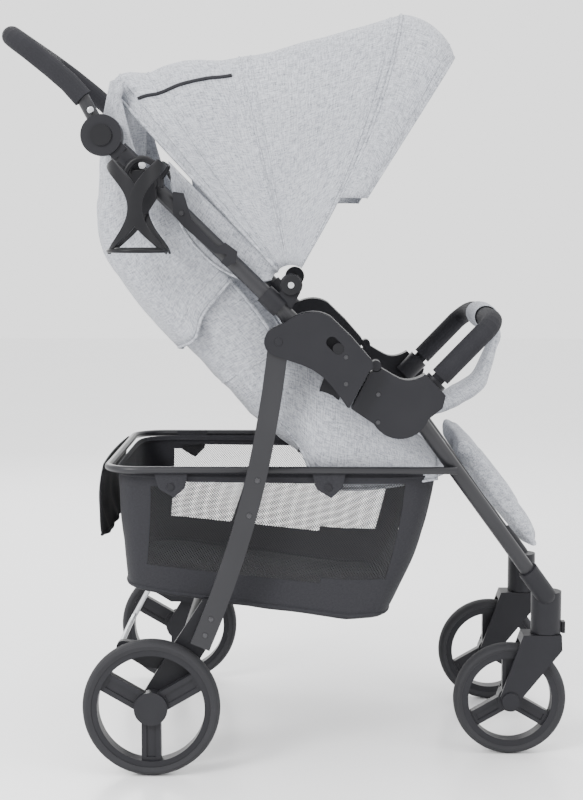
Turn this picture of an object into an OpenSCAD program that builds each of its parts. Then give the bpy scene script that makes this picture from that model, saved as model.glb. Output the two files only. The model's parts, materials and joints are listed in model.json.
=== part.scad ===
// Folding pushchair: book-fold frame, tilting handle, canopy, reclining seat,
// swivel front wheels, braked rear wheels and a shopping basket.
// +X is forward, +Y is the child's left and Z = 0 is the ground.
// A side-view point is [x, z].

/* [Wheels] */
// Radius of a rear wheel
rear_r = 92.5; // [80:0.5:105]
// Width of a rear tyre
rear_w = 28; // [22:1:30]
// Radius of a front wheel
front_r = 78.4; // [70:0.1:84]
// Width of a front tyre
front_w = 26; // [20:1:28]
// Distance from the rear axle to the front axle
wheelbase = 490.5; // [470:0.5:520]
// Distance that a front wheel trails behind its swivel
trail = 49.5; // [40:0.5:54]
// Distance between the middles of the front wheels
front_track = 278; // [264:1:290]
// Gap between a turning part and what it turns in
running = 0.05; // [0.02:0.01:0.09]

/* [Frame] */
// Overall width over the rear wheels
track_w = 510; // [490:1:560]
// Radius of a push tube
tube_r = 10.5; // [8:0.5:10.5]
// Radius of a front leg tube
leg_r = 10; // [8:0.5:10.5]
// Width of a rear leg, seen from the side
rear_leg_w = 27; // [20:1:28]
// Height of the handle pivots
handle_z = 851; // [820:1:900]
// Radius of a handle pivot hub
hub_r = 27; // [25:0.5:32]
// Radius of the foam on the handle
grip_r = 13.5; // [11:0.5:15]

/* [Soft parts] */
// Depth of the seat pad
seat_t = 42; // [25:1:45]
// Depth of the backrest pad
back_t = 32; // [20:1:36]
// Height of the basket floor above the ground
basket_z = 205; // [195:1:230]
// Thickness of the fabric in the canopy and the basket
cloth_t = 3; // [2:0.5:4]

/* [Hidden] */
$fn = 64;
gap = 0.3;                            // soft parts stay this far from their neighbours

// Width layers, measured from the middle plane
rear_out = track_w / 2;               // outer face of a rear wheel
rear_mid = rear_out - rear_w / 2;     // middle of a rear wheel
shell_in = track_w / 2 - 52;          // inner face of the armrests
shell_out = shell_in + 28;            // outer face of their inner block
leg_in = shell_out + 2;               // inner face of a rear leg
leg_out = leg_in + 16.5;              // its outer face
cheek_in = leg_out + 1;               // inner face of the outer cheek
cheek_out = cheek_in + 3.5;           // outer face of the outer cheek
tube_y = shell_in + 16;               // middle of a push tube
knuckle_out = tube_y;                 // where the handle's half of the hub ends
hub_out = tube_y + 17;                // outer face of a handle hub
seat_y = shell_in - 22;               // half width of the seat pad
side_y = seat_y + gap;                // inner face of the seat's side panels
back_y = seat_y - 8;                  // half width of the backrest
canopy_y = tube_y - tube_r - gap;     // half width of the canopy
rim_y = shell_in + 7;                 // middle of the basket's rim tube
basket_y = shell_in;                  // half width of the basket

// Side-view places
rear_axle = [-175, rear_r];
front_axle = [rear_axle[0] + wheelbase, front_r];
swivel = [front_axle[0] + trail, front_r + 93.6];  // foot of the swivel housing
caster_y = front_track / 2;
fold_pivot = [124, 550];
rear_pivot = [-4, 583];
handle_pivot = [-235, handle_z];
tube_end = [40, 583.6];
canopy_pivot = [12, 656];
back_pivot = [28, 440];
hook_pivot = [-131, 750];
brake_pivot = [rear_axle[0] + 25, rear_axle[1] + 57.5];
// The whole stands with its box centred over the frame's origin. The cup holder
// reaches further out on the right than anything on the left.
fore_shift = -10.65;
side_shift = 30.24;
legrest_pivot = [244, 438];
leg_top = [160, 508];
leg_foot = [swivel[0] - 2, swivel[1] + 54];
leg_top_y = shell_in + 15;
leg_foot_y = caster_y + 11;
bar_end = [207, 528];                 // where the bumper bar leaves its socket
bar_y = shell_in - 10;                // middle of the bumper bar's arms
bar_dir = [cos(46), sin(46)];         // the way the bumper bar pulls out

// ---- shared shapes ----

// Puts a finished part in the frame of the whole, whose box is centred over the floor
module in_frame() translate([fore_shift, side_shift, 0]) children();

// Draws a left-hand part on the left (side 1) or mirrored to the right (side -1)
module on_side(side) mirror([0, side > 0 ? 0 : 1, 0]) children();

// Solid of a side-view outline between two widths
module plate(outline, y1, y2)
    translate([0, y2, 0]) rotate([90, 0, 0]) linear_extrude(y2 - y1) polygon(outline);

// Cylinder across the width, at a side-view point
module across(p, y1, y2, r)
    translate([p[0], y2, p[1]]) rotate([90, 0, 0]) cylinder(h = y2 - y1, r = r);

// Round rod between two points in space
module rod(a, b, r) {
    d = b - a;
    translate(a) rotate([0, acos(d[2] / norm(d)), atan2(d[1], d[0])])
        cylinder(h = norm(d), r = r);
}

// Cylinder along the length, from a point in space
module across_x(p, l, r) translate(p) rotate([0, 90, 0]) cylinder(h = l, r = r);

// Bent tube through a list of points, lying close to the plane across a normal
module bent_tube(path, r, normal, sides = 20) {
    count = len(path);
    rings = [for (i = [0 : count - 1]) let (
        along = path[min(i + 1, count - 1)] - path[max(i - 1, 0)],
        t = along / norm(along), a0 = cross(normal, t), a = a0 / norm(a0), b = cross(t, a))
        for (j = [0 : sides - 1]) path[i] + r * (cos(360 * j / sides) * a + sin(360 * j / sides) * b)];
    walls = [for (i = [0 : count - 2], j = [0 : sides - 1]) let (k = (j + 1) % sides)
        [i * sides + j, (i + 1) * sides + j, (i + 1) * sides + k, i * sides + k]];
    ends = [[for (j = [0 : sides - 1]) j],
        [for (j = [sides - 1 : -1 : 0]) (count - 1) * sides + j]];
    polyhedron(rings, concat(walls, ends), convexity = 6);
}

// A left-hand half path and its mirror image, joined into one path across the middle
function both_halves(half) = concat(half,
    [for (i = [len(half) - 1 : -1 : 0]) [half[i][0], -half[i][1], half[i][2]]]);

// A side-view point moved out to a width
function out(p, y) = [p[0], y, p[1]];

// Point at a distance and angle from another, in the side view
function polar(p, r, a) = p + r * [cos(a), sin(a)];

// Arc of side-view points about a centre
function arc(c, r, a1, a2, n = 12) = [for (i = [0 : n]) polar(c, r, a1 + (a2 - a1) * i / n)];

// Smooth curve through four control points
function bezier(a, b, c, d, n = 12) = [for (i = [0 : n]) let (t = i / n, u = 1 - t)
    u * u * u * a + 3 * u * u * t * b + 3 * u * t * t * c + t * t * t * d];

// Straight part way along a push tube from its pivot
tube_dir = (tube_end - handle_pivot) / norm(tube_end - handle_pivot);
function on_tube(s) = handle_pivot + s * tube_dir;

// ---- front frame ----

module front_leg(side) in_frame() color("#26262a") on_side(side)
    rod(out(leg_top, leg_top_y), out(leg_foot, leg_foot_y), leg_r);

// Outline of the armrest's front half, from the fold pivot round the bumper socket
function front_outline() = concat(
    [[131, 547], [146, 538]], bezier([150, 536], [162, 528], [176, 530], [189, 539], 8),
    [[216, 511], [212, 494]], arc([156, 493], 40, -20, -150, 14), [[91.5, 493], [116, 541]]);

module armrest_front(side) in_frame() color("#303036") on_side(side) difference() {
    union() {
        plate(front_outline(), shell_in, shell_out);
        across(fold_pivot, shell_in, shell_in + 13.5, 7);
        rod(out(bar_end - 34 * bar_dir, bar_y + 2), out(bar_end, bar_y + 2), 15.5);
    }
    across(fold_pivot, shell_in + 13.5, shell_out + 1, 8);
    across(fold_pivot, shell_in - 1, shell_out + 1, 3 + running);
    rod(out(leg_top, leg_top_y), out(leg_foot, leg_foot_y), leg_r + 0.2);
    rod(out(bar_end - 30 * bar_dir, bar_y), out(bar_end + 2 * bar_dir, bar_y), 9 + running);
    across([127, 512], shell_out - 4, shell_out + 1, 2.8);
    across([127, 475], shell_out - 4, shell_out + 1, 2.8);
}

module swivel_housing(side) in_frame() color("#303036") on_side(side) difference() {
    union() {
        translate([swivel[0], caster_y, swivel[1]]) cylinder(h = 58, r = 21);
        rod(out(leg_foot, leg_foot_y), out(leg_foot, leg_foot_y)
            + 46 * (out(leg_top, leg_top_y) - out(leg_foot, leg_foot_y)) / norm(leg_top - leg_foot), 14);
        translate(out(leg_foot, leg_foot_y)) sphere(r = 14);
    }
    rod(out(leg_top, leg_top_y), out(leg_foot, leg_foot_y), leg_r + 0.2);
    translate([swivel[0], caster_y, swivel[1] - 1]) cylinder(h = 37, r = 6 + running);
}

// Share of the way down a front leg, and the width of its middle there
function leg_at(z) = (leg_top[1] - z) / (leg_top[1] - leg_foot[1]);
function leg_x(z) = leg_top[0] + leg_at(z) * (leg_foot[0] - leg_top[0]);
function leg_y(z) = leg_top_y + leg_at(z) * (leg_foot_y - leg_top_y);

// Tube between the front legs, at a height on them
module cross_tube(z) difference() {
    across([leg_x(z), z], -leg_y(z), leg_y(z), 7);
    for (s = [1, -1]) on_side(s) {
        rod(out(leg_top, leg_top_y), out(leg_foot, leg_foot_y), leg_r + 0.2);
        translate([leg_x(z) - 20, leg_y(z) - 1, z - 20]) cube(40);
    }
}
footrest_z = 288;
seat_bar_z = 397;
module footrest_bar() in_frame() color("#26262a") cross_tube(footrest_z);
module seat_bar() in_frame() color("#26262a") cross_tube(seat_bar_z);

// Rim tube of the basket: two side runs and a rounded rear end
module basket_rim() in_frame() color("#26262a") {
    rim_r = 5;
    rim_z = 408;
    turn = 45;
    rear_x = -238;
    for (s = [1, -1]) on_side(s) {
        across_x([rear_x + turn, rim_y, rim_z], 234 - rear_x - turn, rim_r);
        translate([rear_x + turn, rim_y - turn, rim_z]) rotate([0, 0, 90])
            rotate_extrude(angle = 90) translate([turn, 0]) circle(r = rim_r);
    }
    across([rear_x, rim_z], -rim_y + turn, rim_y - turn, rim_r);
}

// Basket outline, with its floor higher at the back
function bag_outline(t) = concat(
    [[-232 + t, 402.6], [-216 + t, basket_z + 40]],
    arc([-202, basket_z + 40], 14 - t, 180, 250, 4),
    [[-60, basket_z + 5 + t], [128, basket_z + t]],
    arc([130, basket_z + 24], 24 - t, -90, -20, 5),
    [[207 - t, basket_z + 160], [212 - t, 399.8]]);

module basket_bag() in_frame() color("#1b1b1d") difference() {
    plate(bag_outline(0), -basket_y, basket_y);
    plate(concat(bag_outline(cloth_t), [[212 - cloth_t, 440], [-232 + cloth_t, 440]]),
        -basket_y + cloth_t, basket_y - cloth_t);
    translate([190, -basket_y + cloth_t, 378]) cube([40, 2 * (basket_y - cloth_t), 40]);
}

module seat_pad() in_frame() color("#c9cbd0")
    plate([[50, 389], [100, 384], [225, 390], [232.4, 397], [232, 384 + seat_t],
        [200, 392 + seat_t], [90, 398 + seat_t], [62, 392 + seat_t]], -seat_y, seat_y);

// Side panels of the seat, tied to the armrests
module seat_sides() in_frame() color("#c9cbd0") for (s = [1, -1]) on_side(s) difference() {
    union() {
        plate([[40, 392], [0, 468], [-62, 530], [-36, 590], [40, 560], [120, 500],
            [180, 455], [205, 432], [205, 392], [101, 381]], side_y, side_y + cloth_t);
        plate([[100, 485], [120, 485], [120, 505], [100, 505]], side_y, shell_in - gap);
    }
    across(back_pivot, side_y - 1, side_y + cloth_t + 1, 10);
}

module front_screws() in_frame() color("#8b8d92") for (s = [1, -1], p = [[127, 512], [127, 475]])
    on_side(s) across(p, shell_out - 4 + running, shell_out + 0.8, 2.7);

module crotch_strap() in_frame() color("#c9cbd0")
    plate(concat(bezier([293, 588], [300, 560], [285, 520], [232, 452]),
        bezier([236, 449], [291, 518], [305, 560], [297, 588])), -24, 24);

// ---- upper frame ----

module push_tube(side) in_frame() color("#26262a") on_side(side) {
    rod(out(on_tube(hub_r + 1.5), tube_y), out(tube_end, tube_y), tube_r);
    if (side < 0) across(hook_pivot, tube_y + 4, tube_y + tube_r + 9, 3);
}

// Outline of the armrest's rear half, from the rear leg's pin to the fold pivot
function rear_outline() = concat(
    arc(rear_pivot, 19, 245, 130, 10), bezier([3, 607], [20, 622], [46, 627], [64, 615], 8),
    [[92, 588], [118, 558], [119.5, 550], [113.5, 543], [88.5, 496.5]],
    bezier([86, 497], [66, 526], [54, 546], [14, 557], 8));

module armrest_rear(side) in_frame() color("#303036") on_side(side) difference() {
    union() {
        plate(rear_outline(), shell_in, shell_out);
        plate(rear_outline(), cheek_in, cheek_out);
        plate(concat(arc(rear_pivot, 19, 195, 130, 8), arc(rear_pivot, 15.5, 130, 195, 8)),
            shell_out, cheek_in);
        across(fold_pivot, shell_in + 14, shell_out, 7);
        across(fold_pivot, shell_in, shell_in + 14, 3);
        across(rear_pivot, shell_out, cheek_in, 4);
        plate([[20, 432], [36, 432], [84, 518], [62, 550]], shell_in - 7, shell_in);
        across(back_pivot, back_y - 10, shell_in - 7, 4);
    }
    difference() {
        across(fold_pivot, shell_in - 1, shell_in + 14, 8);
        across(fold_pivot, shell_in - 1, shell_in + 14, 3);
    }
    rod(out(on_tube(0), tube_y), out(tube_end + 2 * tube_dir, tube_y), tube_r + 0.2);
    lock_slot(cheek_in - 1, cheek_out + 1, 7.5);
    for (p = [[84, 563], [84, 528]]) across(p, cheek_in + 1, cheek_out + 1, 2.8);
}

// The slanting slot of the fold lock, from its rest to its far end
lock_rest = [74, 574];
lock_way = [-cos(45), sin(45)];
lock_travel = 12;
module lock_slot(y1, y2, r) {
    across(lock_rest, y1, y2, r);
    across(lock_rest + lock_travel * lock_way, y1, y2, r);
    plate([for (k = [[0, 1], [0, -1], [1, -1], [1, 1]])
        lock_rest + k[0] * lock_travel * lock_way + k[1] * r * [lock_way[1], -lock_way[0]]], y1, y2);
}

module lock_slider(side) in_frame() color("#161618") on_side(side)
    across(lock_rest, cheek_in, cheek_out - 0.6, 7.5 - running);

module handle_hub(side) in_frame() color("#303036") on_side(side) difference() {
    union() {
        across(handle_pivot, knuckle_out + gap, hub_out, hub_r);
        rod(out(on_tube(hub_r + 1.2), tube_y), out(on_tube(hub_r + 36), tube_y), tube_r + 3.5);
        across(handle_pivot, shell_in, knuckle_out + gap, 5);
        plate([on_tube(6) + [-8, -8], on_tube(hub_r + 8) + [-8, -8],
            on_tube(hub_r + 8) + [8, 8], on_tube(6) + [8, 8]], tube_y + 4, hub_out - 3);
    }
    rod(out(on_tube(hub_r + 1.2), tube_y), out(on_tube(hub_r + 60), tube_y), tube_r + 0.2);
    across(handle_pivot, hub_out - 7, hub_out + 1, 14);
}

module handle_button(side) in_frame() color("#3a3a41") on_side(side)
    across(handle_pivot, hub_out - 3.5, hub_out + 2.5, 14 - running);

module canopy_bracket(side) in_frame() color("#303036") on_side(side) difference() {
    union() {
        rod(out(on_tube(295), tube_y), out(on_tube(325), tube_y), tube_r + 3);
        plate([canopy_pivot + [-14, -8], [-10, 626], [8, 616], canopy_pivot + [12, -10],
            canopy_pivot + [0, 8]], shell_in + 13, shell_in + 21);
        across(canopy_pivot, shell_in + 13, shell_in + 21, 15);
    }
    rod(out(on_tube(280), tube_y), out(on_tube(340), tube_y), tube_r + 0.2);
    across(canopy_pivot, shell_in, shell_in + 30, 4 + running);
}

// Wall of a fabric shell: an outline and the same outline pulled in, both side cheeks kept
module shell_of(outer, inner) difference() {
    plate(outer, -canopy_y, canopy_y);
    plate(inner, -canopy_y + cloth_t, canopy_y - cloth_t);
}

// Rear panel of the canopy, from its back hem to the crown seam
module canopy_rear() in_frame() color("#c9cbd0") shell_of(
    [[-6, 672], [-131, 800], [-212, 890], [-232, 924], [-213, 943], [-156, 955], [-72, 960]],
    [[0, 660], [-140, 806], [-226, 900], [-229, 922], [-212, 940], [-156, 952], [-60, 957]]);

module cup_holder() in_frame() color("#26262a") {
    cup = [-184, -(tube_y + tube_r + 46)];
    on_side(-1) difference() {
        union() {
            rod(out(on_tube(66), tube_y), out(on_tube(90), tube_y), tube_r + 3);
            translate([-186, tube_y + tube_r + 0.5, 772]) cube([12, 6, 36]);
        }
        rod(out(on_tube(55), tube_y), out(on_tube(95), tube_y), tube_r + 0.2);
    }
    difference() {
        translate([cup[0], cup[1], 700]) cylinder(h = 112, r = 40);
        translate([cup[0], cup[1], 703]) cylinder(h = 120, r = 37.5);
        for (s = [1, -1]) translate([cup[0] + s * 50, cup[1] + 60, 762]) rotate([90, 0, 0])
            cylinder(h = 120, r = 36);
        for (s = [1, -1]) translate([cup[0], cup[1] + s * 60, 762]) rotate([90, 0, 0])
            translate([0, 0, s > 0 ? 25 : -55]) cylinder(h = 30, r = 15);
    }
}

module rear_screws() in_frame() color("#8b8d92") for (s = [1, -1]) on_side(s) {
    for (p = [[84, 563], [84, 528]]) across(p, cheek_in + 1 + running, cheek_out + 0.6, 2.7);
}

// ---- handle ----

// Side view of a handle arm, from the hub up to the start of the corner
handle_arm = [for (p = [[-242, 865], [-261, 900], [-280, 921], [-302, 940], [-332, 964]])
    p + [0, handle_z - 851]];
handle_top = handle_arm[4] + [-27, 20];

// Left half of the handle: an arm and the rounded corner, from the given arm point
function handle_half(first) = concat(
    [for (i = [first : 4]) out(handle_arm[i], shell_in + 7 - i)],
    [for (a = [15 : 15 : 90]) [handle_arm[4][0] + (handle_top[0] - handle_arm[4][0]) * sin(a),
        shell_in + 3 - 34 * (1 - cos(a)),
        handle_arm[4][1] + (handle_top[1] - handle_arm[4][1]) * sin(a)]]);
handle_normal = [20, 0, 27];

module handle_bar() in_frame() color("#26262a") difference() {
    union() {
        bent_tube(both_halves(handle_half(0)), 9, handle_normal);
        for (s = [1, -1]) on_side(s)
            across(handle_pivot, shell_in - 3, knuckle_out, hub_r - 1.2);
    }
    for (s = [1, -1]) on_side(s) across(handle_pivot, shell_in - 12, knuckle_out + 9, 5 + running);
}

module handle_grip() in_frame() color("#2e2e33") difference() {
    bent_tube(both_halves(handle_half(1)), grip_r, handle_normal);
    bent_tube(both_halves(handle_half(0)), 9.3, handle_normal);
}

module fold_hook() in_frame() color("#26262a") on_side(-1) difference() {
    plate(concat([[-142, 778], [-128, 776], [-118, 742], [-84, 706], [-74, 712]],
        [[-58, 700], [-60, 686], [-72, 680], [-80, 686], [-72, 696], [-88, 698]],
        [[-128, 732], [-142, 748]]), tube_y + tube_r + 1, tube_y + tube_r + 6);
    across(hook_pivot, tube_y, tube_y + 30, 3 + running);
}

// ---- rear frame ----

// Middle line of a rear leg: straight at the top, swept back towards the axle
leg_curve = concat([rear_pivot, [-8, 550]],
    bezier([-12, 520], [-26, 430], [-44, 330], [-109, 176], 16));
function leg_side(i) = let (a = leg_curve[max(i - 1, 0)], b = leg_curve[min(i + 1, len(leg_curve) - 1)],
    d = (b - a) / norm(b - a)) [-d[1], d[0]] * rear_leg_w / 2;

module rear_leg(side) in_frame() color("#26262a") on_side(side) difference() {
    union() {
        plate(concat([for (i = [0 : len(leg_curve) - 1]) leg_curve[i] + leg_side(i)],
            [for (i = [len(leg_curve) - 1 : -1 : 0]) leg_curve[i] - leg_side(i)]), leg_in, leg_out);
        across(rear_pivot, leg_in, leg_out, rear_leg_w / 2);
    }
    across(rear_pivot, leg_in - 1, leg_out + 1, 4 + running);
}

foot_in = rear_out - rear_w - 15;     // inner face of a rear foot
foot_out = rear_out - rear_w - 3;     // its outer face

module rear_foot(side) in_frame() color("#303036") on_side(side) {
    plate(concat([[-80, 236], [-106, 236], [-150, 168]], arc(rear_axle, 18, 150, 300, 10),
        [[-132, 120], [-88, 190]]), foot_in, foot_out);
    plate([[-82, 232], [-98, 232], [-110, 190], [-94, 186]], foot_out, leg_in - 0.2);
    across(rear_axle, foot_out, rear_out - rear_w - 0.5, 12);
    across(rear_axle, foot_out, rear_out - 5, 5);
    across(brake_pivot, foot_in - 14, foot_in, 4);
}

module rear_axle_tube() in_frame() color("#26262a")
    across([-128, 178], -foot_in, foot_in, 9);

module brake_arms() in_frame() color("#1b1b1d") for (s = [1, -1]) on_side(s) difference() {
    plate(concat(arc(brake_pivot, 13, 90, -80, 8), [[-185, 138], [-205, 150]],
        arc([-216, 166], 9, 240, 90, 8), [[-190, 172]]), foot_in - 13.5, foot_in - 1);
    across(brake_pivot, foot_in - 20, foot_in + 1, 4 + running);
    across([-216, 166], foot_in - 20, foot_in + 1, 4 + running);
}

module brake_bar() in_frame() color("#c8cace") {
    turn = 20;
    bar_in = foot_in - 18;
    bent_tube(both_halves(concat([[-216, bar_in, 166], [-240, bar_in - 8, 122]],
        [for (a = [30 : 30 : 90]) [-240 - 5 * sin(a), bar_in - 8 - turn * (1 - cos(a)), 122 - 8 * sin(a)]])),
        4, [10, 0, -6], 16);
    for (s = [1, -1]) on_side(s) across([-216, 166], foot_in - 19, foot_in - 1.5, 4);
}

// ---- wheels ----

// Tyre ring about the Y axis, with a crowned tread
module tyre(p, y, r, w, seat) translate([p[0], y, p[1]]) rotate([90, 0, 0])
    rotate_extrude($fn = 96) polygon(concat([[seat, -w / 2 + 2], [r - 7, -w / 2]],
        [for (a = [-70 : 20 : 70]) [r - 7 + 7 * cos(a), (w / 2) * sin(a) / sin(80)]],
        [[r - 7, w / 2], [seat, w / 2 - 2]]));

// Rim with three ribbed spokes and a hub
module rim(p, y, seat, opening, hub, w, bore, turn) translate([p[0], y, p[1]]) rotate([90, 0, 0])
    difference() {
        union() {
            difference() {
                translate([0, 0, -w / 2]) cylinder(h = w, r = seat - 0.1, $fn = 96);
                translate([0, 0, -w / 2 - 1]) cylinder(h = w + 2, r = opening, $fn = 96);
            }
            translate([0, 0, -w / 2]) cylinder(h = w, r = hub);
            for (a = [0 : 120 : 240]) rotate([0, 0, a + turn]) difference() {
                translate([0, -hub * 0.62, -w / 2 + 4])
                    cube([opening + 2, hub * 1.24, w - 8]);
                for (side = [w / 2 - 6, -w / 2 + 2]) translate([hub + 3, -hub * 0.3, side])
                    cube([opening - hub - 8, hub * 0.6, 4]);
            }
        }
        translate([0, 0, -w]) cylinder(h = 2 * w, r = bore);
    }

rear_seat = rear_r - 12.5;
front_seat = front_r - 11.4;

module rear_tyre(side) in_frame() color("#2b2b2f") on_side(side)
    tyre(rear_axle, rear_mid, rear_r, rear_w, rear_seat);
module rear_rim(side) in_frame() color("#3a3a41") on_side(side)
    rim(rear_axle, rear_mid, rear_seat, rear_seat - 8, 21, rear_w - 6, 5 + running, 30);
module rear_cap(side) in_frame() color("#3a3a41") on_side(side)
    across(rear_axle, rear_out - 3, rear_out - 0.5, 22.5);

module fork(side) in_frame() color("#303036") on_side(side) {
    inner = caster_y - front_w / 2 - 2;
    outer = caster_y + front_w / 2 + 2;
    side_view = concat([[swivel[0] - 33, swivel[1] - 1], [swivel[0] + 20, swivel[1] - 1],
        [swivel[0] + 21, swivel[1] - 22]], arc(front_axle, 15, 10, -130, 8),
        [[front_axle[0] - 14, front_axle[1] + 6]]);
    difference() {
        plate(side_view, inner - 5, outer + 5);
        difference() {
            plate(concat([[front_axle[0] - 40, front_axle[1] - 40], [swivel[0] + 40, front_axle[1] - 40]],
                [[swivel[0] + 40, front_axle[1] + 66], [front_axle[0] + 40, front_axle[1] + 81.5],
                [front_axle[0] - 40, front_axle[1] + 81.5]]), inner, outer);
        }
    }
    across(front_axle, inner - 1, outer + 1, 4);
    across(front_axle, outer + 5, outer + 8, 12);
    translate([swivel[0], caster_y, swivel[1] - 1]) cylinder(h = 33, r = 6);
}

module front_tyre(side) in_frame() color("#2b2b2f") on_side(side)
    tyre(front_axle, caster_y, front_r, front_w, front_seat);
module front_rim(side) in_frame() color("#3a3a41") on_side(side)
    rim(front_axle, caster_y, front_seat, front_seat - 9, 17, front_w - 4, 4 + running, 90);

module swivel_lock(side) in_frame() color("#161618") on_side(side)
    translate([swivel[0] + 21.3, caster_y - 6, swivel[1] - 0.5]) cube([5, 12, 16]);

// ---- canopy ----

bow_top = [168, 1018];
bow_dir = (bow_top - canopy_pivot) / norm(bow_top - canopy_pivot);
module canopy_bow() in_frame() color("#26262a") {
    turn = 22;
    bent_tube(both_halves(concat(
        [out(canopy_pivot, shell_in + 25), out(canopy_pivot + 24 * bow_dir, shell_in + 25),
         out(canopy_pivot + 90 * bow_dir, shell_in + 18),
         out(bow_top - turn * bow_dir, canopy_y + 5)],
        [for (a = [30 : 30 : 90]) out(bow_top - turn * (1 - sin(a)) * bow_dir,
            canopy_y + 5 - turn * (1 - cos(a)))])), 3, [bow_dir[1], 0, -bow_dir[0]], 16);
    for (s = [1, -1]) on_side(s) {
        across(canopy_pivot, shell_in + 13, shell_in + 21.5, 4);
        across(canopy_pivot, shell_in + 21.5, shell_in + 27, 14);
    }
}

module canopy_hood() in_frame() color("#c9cbd0") shell_of(
    [[-5, 673], [-70, 960], [26, 987], [100, 1006], [157, 1018], [157, 1005], [78, 776], [52, 723], [30, 682]],
    [[-30, 640], [-85, 957], [26, 984], [100, 1003], [175, 1018], [175, 1000], [95, 776], [66, 723], [40, 640]]);

module canopy_visor() in_frame() color("#c9cbd0") shell_of(
    [[175, 1017], [228, 963], [116, 778], [104, 768], [88, 775]],
    [[150, 1014], [173, 1014], [225, 961], [245, 950], [130, 760], [104, 750], [70, 765]]);

// ---- seat back, leg rest, bumper ----

back_up = [cos(132), sin(132)];        // up along the backrest
back_out = [sin(132), -cos(132)];      // out of its front face
function on_back(s, t) = back_pivot + s * back_up + t * back_out;

module backrest_board() in_frame() color("#2a2a2d") difference() {
    union() {
        plate([on_back(14, 0), on_back(430, 0), on_back(430, 4), on_back(14, 4)], -back_y, back_y);
        across(back_pivot, -back_y, back_y, 8);
        plate([on_back(0, -4), on_back(18, 0), on_back(18, 4), on_back(0, 4)], -back_y, back_y);
    }
    for (s = [1, -1]) on_side(s) across(back_pivot, back_y - 12, back_y + 1, 4 + running);
}

module backrest_pad() in_frame() color("#c9cbd0")
    plate([on_back(22, 4 + gap), on_back(425, 4 + gap), on_back(420, 4 + back_t), on_back(28, 4 + back_t)],
        -back_y + 2, back_y - 2);

module legrest() in_frame() color("#c9cbd0") {
    plate([[240, 452], [283, 410], [312, 374], [345, 320], [361, 284], [342, 284], [284, 357],
        [234, 427]], -(shell_in - 57), shell_in - 57);
    across(legrest_pivot, -(shell_in - 52), shell_in - 52, 5);
}

// Left half of the bumper bar: a straight arm and the wide corner to its front
bar_corner = bar_end + 84 * bar_dir;
bar_front = [285, 606];
bar_half = concat([out(bar_end + 6 * bar_dir, bar_y), out(bar_corner, bar_y)],
    [for (a = [15 : 15 : 90]) let (p = bar_corner + (bar_front - bar_corner) * sin(a))
        [p[0], bar_y - 60 * (1 - cos(a)), p[1]]]);

module bumper_bar() in_frame() color("#2e2e33") {
    bent_tube(both_halves(bar_half), 14, [bar_dir[1], 0, -bar_dir[0]]);
    for (s = [1, -1]) on_side(s)
        rod(out(bar_end - 24 * bar_dir, bar_y), out(bar_end + 10 * bar_dir, bar_y), 9);
}

front_leg(1);  // front_leg_left
front_leg(-1);  // front_leg_right
armrest_front(1);  // armrest_front_left
armrest_front(-1);  // armrest_front_right
swivel_housing(1);  // swivel_housing_left
swivel_housing(-1);  // swivel_housing_right
footrest_bar();
seat_bar();
basket_rim();
basket_bag();
seat_pad();
seat_sides();
front_screws();
crotch_strap();
push_tube(1);  // push_tube_left
push_tube(-1);  // push_tube_right
armrest_rear(1);  // armrest_rear_left
armrest_rear(-1);  // armrest_rear_right
handle_hub(1);  // handle_hub_left
handle_hub(-1);  // handle_hub_right
canopy_bracket(1);  // canopy_bracket_left
canopy_bracket(-1);  // canopy_bracket_right
canopy_rear();
cup_holder();
rear_screws();
handle_bar();
handle_grip();
handle_button(1);  // handle_button_left
handle_button(-1);  // handle_button_right
fold_hook();
lock_slider(1);  // lock_slider_left
lock_slider(-1);  // lock_slider_right
rear_leg(1);  // rear_leg_left
rear_leg(-1);  // rear_leg_right
rear_foot(1);  // rear_foot_left
rear_foot(-1);  // rear_foot_right
rear_axle_tube();
brake_arms();
brake_bar();
rear_tyre(1);  // rear_tyre_left
rear_tyre(-1);  // rear_tyre_right
rear_rim(1);  // rear_rim_left
rear_rim(-1);  // rear_rim_right
rear_cap(1);  // rear_cap_left
rear_cap(-1);  // rear_cap_right
fork(1);  // fork_left
fork(-1);  // fork_right
front_tyre(1);  // front_tyre_left
front_tyre(-1);  // front_tyre_right
front_rim(1);  // front_rim_left
front_rim(-1);  // front_rim_right
swivel_lock(1);  // swivel_lock_left
swivel_lock(-1);  // swivel_lock_right
canopy_bow();
canopy_hood();
canopy_visor();
backrest_board();
backrest_pad();
legrest();
bumper_bar();
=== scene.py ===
import json
import math

import bmesh
import bpy
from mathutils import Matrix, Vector, noise


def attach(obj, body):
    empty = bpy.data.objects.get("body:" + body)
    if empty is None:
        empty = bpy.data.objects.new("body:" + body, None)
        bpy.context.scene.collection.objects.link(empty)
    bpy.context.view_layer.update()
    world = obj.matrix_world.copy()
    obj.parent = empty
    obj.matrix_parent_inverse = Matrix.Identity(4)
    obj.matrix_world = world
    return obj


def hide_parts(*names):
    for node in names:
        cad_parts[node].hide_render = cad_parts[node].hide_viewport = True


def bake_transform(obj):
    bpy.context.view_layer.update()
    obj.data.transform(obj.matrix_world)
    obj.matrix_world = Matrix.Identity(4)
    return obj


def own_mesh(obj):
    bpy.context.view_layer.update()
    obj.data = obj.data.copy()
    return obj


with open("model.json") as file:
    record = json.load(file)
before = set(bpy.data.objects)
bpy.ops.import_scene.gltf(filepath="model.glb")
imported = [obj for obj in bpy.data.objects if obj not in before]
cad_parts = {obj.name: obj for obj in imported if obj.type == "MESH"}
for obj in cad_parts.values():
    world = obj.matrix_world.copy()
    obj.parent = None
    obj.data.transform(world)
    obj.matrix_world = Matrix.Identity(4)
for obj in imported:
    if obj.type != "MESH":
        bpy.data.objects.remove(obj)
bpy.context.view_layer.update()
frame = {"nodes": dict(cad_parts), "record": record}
MM = 0.001
ACROSS = Vector((-0.01065, 0.03024, 0))  # from the box's middle to the pushchair's own
SIDES = ((1, "left"), (-1, "right"))

# ---- camera, light and floor ----

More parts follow.
